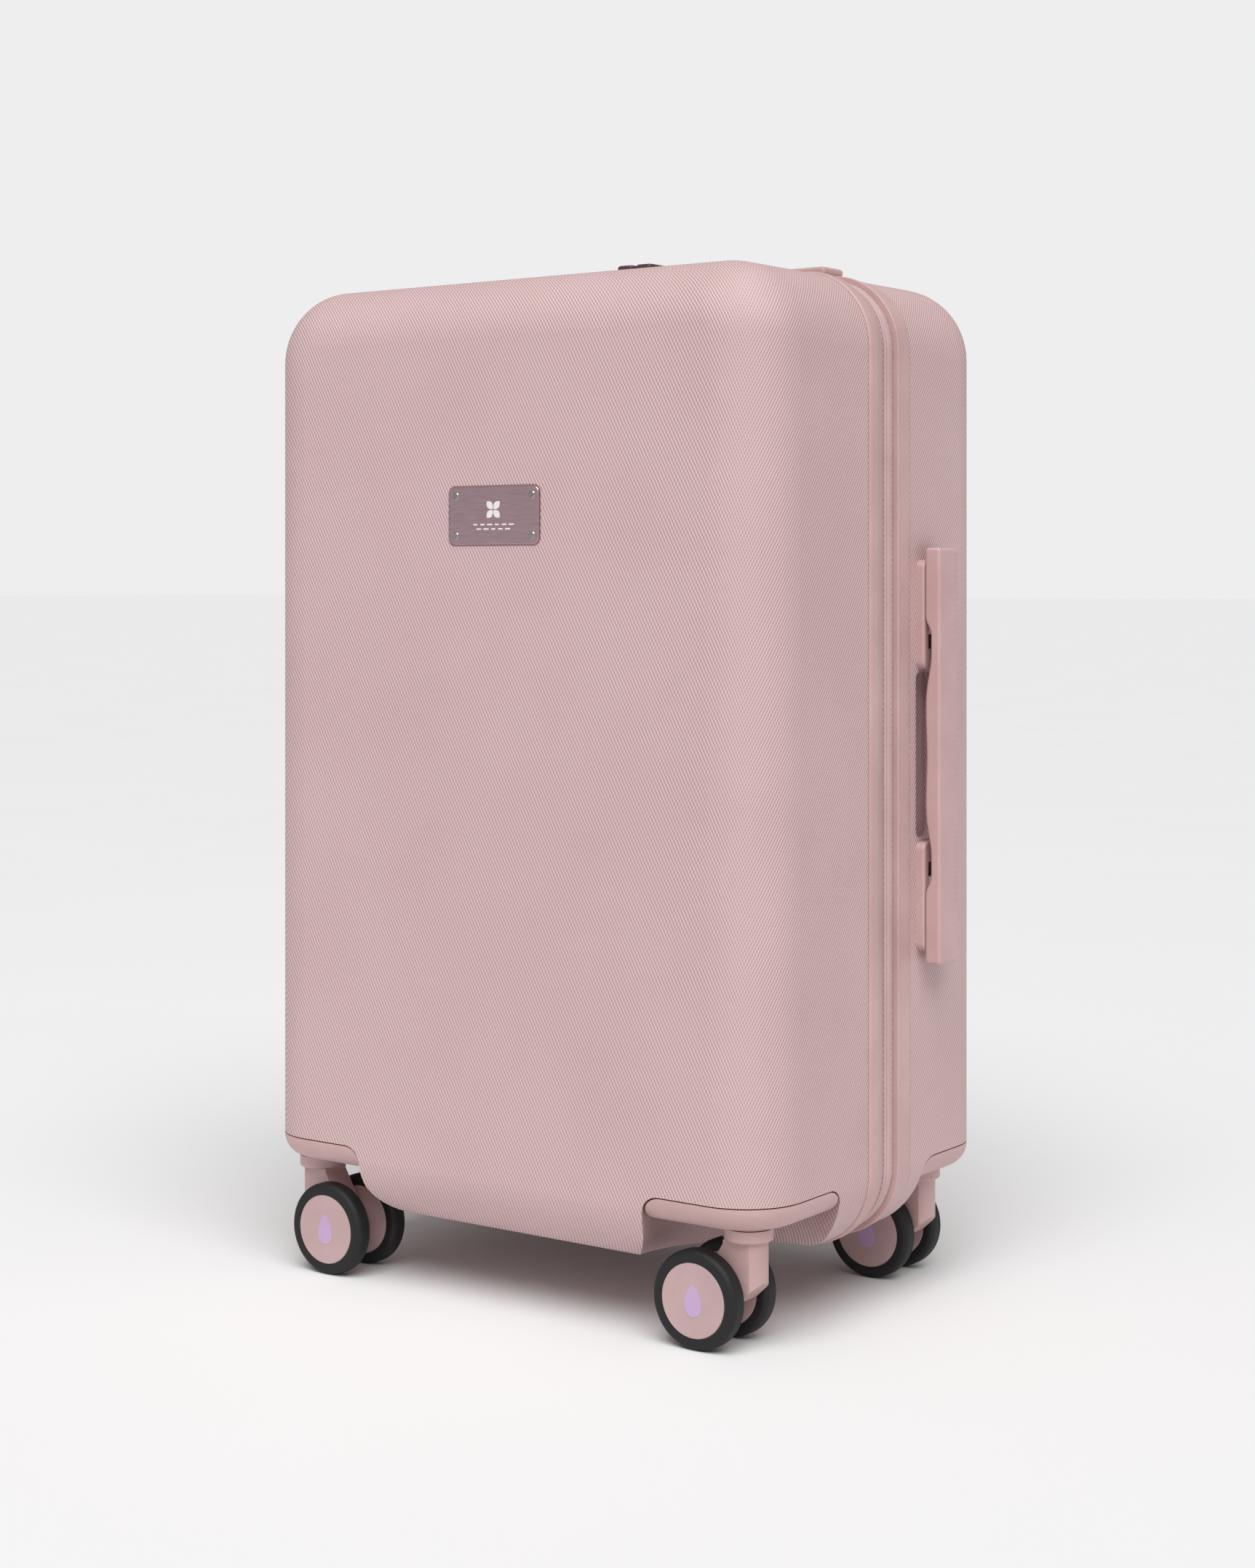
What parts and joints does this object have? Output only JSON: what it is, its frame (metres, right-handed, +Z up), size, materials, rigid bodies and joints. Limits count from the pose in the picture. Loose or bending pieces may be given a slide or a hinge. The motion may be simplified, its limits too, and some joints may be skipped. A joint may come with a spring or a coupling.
{
  "type": "hard shell suitcase",
  "caption": "Hard-shell clamshell cabin suitcase: zipped shell halves, twin-wheel swivel casters, telescopic trolley handle, pull-out carry handles and dial lock.",
  "frame": {"origin": "on the floor under the middle of the overall box", "axes": "+X to the side with the carry handle, -Y the front face with the badge, +Z up"},
  "size_m": [0.3588, 0.2374, 0.5725],
  "materials": {
    "shell": "matte, fine twill texture",
    "trim": "satin, smooth moulded",
    "inner_plastic": "matte",
    "zip_tape": "woven",
    "lining": "woven, fine",
    "webbing": "ribbed webbing",
    "tube": "satin anodised",
    "badge": "brushed, dark mauve",
    "rivet": "polished",
    "lock_plastic": "satin",
    "lock_metal": "brushed",
    "dial": "matte",
    "steel": "zinc plated",
    "hub": "matte",
    "tyre": "matte rubber"
  },
  "bodies": {
    "rear_case": {"rear_shell": "shell", "rear_rim": "trim", "rear_zip": "zip_tape", "rear_lining": "lining", "hinge_strip": "zip_tape", "cross_straps": "webbing", "handle_mounts": "trim", "trolley_bezel": "trim", "trolley_base": "inner_plastic", "trolley_outer_tubes": "tube", "lock_body": "lock_plastic", "zip_sliders": "lock_metal", "rear_caster_screws": "steel", "rear_left_cap": "trim", "rear_right_cap": "trim"},
    "front_case": {"front_shell": "shell", "front_rim": "trim", "front_zip": "zip_tape", "front_lining": "lining", "badge_plate": "badge", "badge_rivets": "rivet", "front_caster_screws": "steel", "front_left_cap": "trim", "front_right_cap": "trim"},
    "side_handle": {"side_handle_bar": "trim"},
    "top_handle": {"top_handle_bar": "trim"},
    "trolley_middle": {"trolley_middle_tubes": "tube"},
    "trolley_top": {"trolley_inner_tubes": "tube", "trolley_grip": "trim"},
    "trolley_key": {"trolley_button": "lock_plastic"},
    "lock_key": {"lock_button": "lock_metal"},
    "puller_left": {"zip_puller_left": "lock_plastic"},
    "puller_right": {"zip_puller_right": "lock_plastic"},
    "dial_1": {"lock_dial_1": "dial"},
    "dial_2": {"lock_dial_2": "dial"},
    "dial_3": {"lock_dial_3": "dial"},
    "front_left_caster": {"front_left_fork": "trim", "front_left_axle": "steel"},
    "front_left_wheel_a": {"front_left_hub_a": "hub", "front_left_tyre_a": "tyre"},
    "front_left_wheel_b": {"front_left_hub_b": "hub", "front_left_tyre_b": "tyre"},
    "front_right_caster": {"front_right_fork": "trim", "front_right_axle": "steel"},
    "front_right_wheel_a": {"front_right_hub_a": "hub", "front_right_tyre_a": "tyre"},
    "front_right_wheel_b": {"front_right_hub_b": "hub", "front_right_tyre_b": "tyre"},
    "rear_left_caster": {"rear_left_fork": "trim", "rear_left_axle": "steel"},
    "rear_left_wheel_a": {"rear_left_hub_a": "hub", "rear_left_tyre_a": "tyre"},
    "rear_left_wheel_b": {"rear_left_hub_b": "hub", "rear_left_tyre_b": "tyre"},
    "rear_right_caster": {"rear_right_fork": "trim", "rear_right_axle": "steel"},
    "rear_right_wheel_a": {"rear_right_hub_a": "hub", "rear_right_tyre_a": "tyre"},
    "rear_right_wheel_b": {"rear_right_hub_b": "hub", "rear_right_tyre_b": "tyre"}
  },
  "joints": [
    {"name": "lid_hinge", "type": "hinge", "parent": "rear_case", "child": "front_case", "pos_m": [-0.17965, 0.0065, 0.29675], "axis": [0, 0, -1], "range_deg": [0, 150]},
    {"name": "side_handle_pull", "type": "slide", "parent": "rear_case", "child": "side_handle", "axis": [1, 0, 0], "range_m": [0, 0.01], "stiffness_N_per_m": 250},
    {"name": "top_handle_pull", "type": "slide", "parent": "rear_case", "child": "top_handle", "axis": [0, 0, 1], "range_m": [0, 0.01], "stiffness_N_per_m": 250},
    {"name": "trolley_stage_1", "type": "slide", "parent": "rear_case", "child": "trolley_middle", "axis": [0, 0, 1], "range_m": [0, 0.235]},
    {"name": "trolley_stage_2", "type": "slide", "parent": "trolley_middle", "child": "trolley_top", "axis": [0, 0, 1], "range_m": [0, 0.235]},
    {"name": "trolley_button_press", "type": "slide", "parent": "trolley_top", "child": "trolley_key", "axis": [0, 0, -1], "range_m": [0, 0.004], "stiffness_N_per_m": 400},
    {"name": "lock_release", "type": "slide", "parent": "rear_case", "child": "lock_key", "axis": [1, 0, 0], "range_m": [0, 0.004], "stiffness_N_per_m": 200},
    {"name": "puller_left_swing", "type": "hinge", "parent": "rear_case", "child": "puller_left", "pos_m": [-0.00815, 0.0065, 0.5645], "axis": [1, 0, 0], "range_deg": [0, 105]},
    {"name": "puller_right_swing", "type": "hinge", "parent": "rear_case", "child": "puller_right", "pos_m": [0.00485, 0.0065, 0.5645], "axis": [1, 0, 0], "range_deg": [0, 105]},
    {"name": "dial_1_turn", "type": "hinge", "parent": "rear_case", "child": "dial_1", "pos_m": [-0.02815, 0.0215, 0.5623], "axis": [1, 0, 0], "continuous": true},
    {"name": "dial_2_turn", "type": "hinge", "parent": "rear_case", "child": "dial_2", "pos_m": [-0.02255, 0.0215, 0.5623], "axis": [1, 0, 0], "continuous": true},
    {"name": "dial_3_turn", "type": "hinge", "parent": "rear_case", "child": "dial_3", "pos_m": [-0.01695, 0.0215, 0.5623], "axis": [1, 0, 0], "continuous": true},
    {"name": "front_left_swivel", "type": "hinge", "parent": "front_case", "child": "front_left_caster", "pos_m": [-0.15285, -0.0927, 0.06], "axis": [0, 0, 1], "continuous": true},
    {"name": "front_left_wheel_a_spin", "type": "hinge", "parent": "front_left_caster", "child": "front_left_wheel_a", "pos_m": [-0.13225, -0.1077, 0.0256], "axis": [0, 1, 0], "continuous": true},
    {"name": "front_left_wheel_b_spin", "type": "hinge", "parent": "front_left_caster", "child": "front_left_wheel_b", "pos_m": [-0.13225, -0.0777, 0.0256], "axis": [0, 1, 0], "continuous": true},
    {"name": "front_right_swivel", "type": "hinge", "parent": "front_case", "child": "front_right_caster", "pos_m": [0.13955, -0.0927, 0.06], "axis": [0, 0, 1], "continuous": true},
    {"name": "front_right_wheel_a_spin", "type": "hinge", "parent": "front_right_caster", "child": "front_right_wheel_a", "pos_m": [0.11895, -0.1077, 0.0256], "axis": [0, 1, 0], "continuous": true},
    {"name": "front_right_wheel_b_spin", "type": "hinge", "parent": "front_right_caster", "child": "front_right_wheel_b", "pos_m": [0.11895, -0.0777, 0.0256], "axis": [0, 1, 0], "continuous": true},
    {"name": "rear_left_swivel", "type": "hinge", "parent": "rear_case", "child": "rear_left_caster", "pos_m": [-0.15285, 0.0807, 0.06], "axis": [0, 0, 1], "continuous": true},
    {"name": "rear_left_wheel_a_spin", "type": "hinge", "parent": "rear_left_caster", "child": "rear_left_wheel_a", "pos_m": [-0.13225, 0.0657, 0.0256], "axis": [0, 1, 0], "continuous": true},
    {"name": "rear_left_wheel_b_spin", "type": "hinge", "parent": "rear_left_caster", "child": "rear_left_wheel_b", "pos_m": [-0.13225, 0.0957, 0.0256], "axis": [0, 1, 0], "continuous": true},
    {"name": "rear_right_swivel", "type": "hinge", "parent": "rear_case", "child": "rear_right_caster", "pos_m": [0.13955, 0.0807, 0.06], "axis": [0, 0, 1], "continuous": true},
    {"name": "rear_right_wheel_a_spin", "type": "hinge", "parent": "rear_right_caster", "child": "rear_right_wheel_a", "pos_m": [0.11895, 0.0657, 0.0256], "axis": [0, 1, 0], "continuous": true},
    {"name": "rear_right_wheel_b_spin", "type": "hinge", "parent": "rear_right_caster", "child": "rear_right_wheel_b", "pos_m": [0.11895, 0.0957, 0.0256], "axis": [0, 1, 0], "continuous": true}
  ]
}
